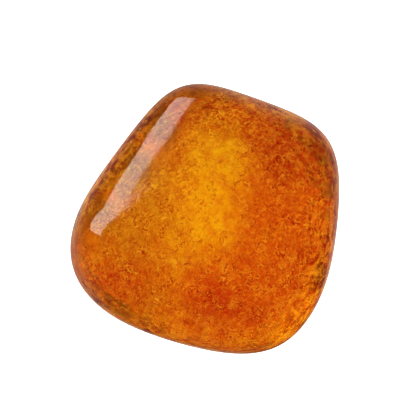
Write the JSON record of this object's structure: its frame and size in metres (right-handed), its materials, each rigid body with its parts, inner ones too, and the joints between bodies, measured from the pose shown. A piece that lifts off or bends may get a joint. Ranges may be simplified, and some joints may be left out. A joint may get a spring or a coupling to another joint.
{
  "type": "piece of amber",
  "caption": "Tumbled, polished lump of clear honey-orange amber, a rounded irregular pebble that rests on a face worn level.",
  "frame": {"origin": "on the surface that the piece rests on, below the middle of its box", "axes": "+Z up, out of the domed top, along the piece's thickness; +Y is up and +X is right in a view straight down on it"},
  "size_m": [0.03, 0.0302, 0.016],
  "materials": {
    "amber": "polished, see-through honey to red-orange resin with fine flecks inside"
  },
  "bodies": {
    "root": {"amber": "amber"}
  },
  "joints": []
}
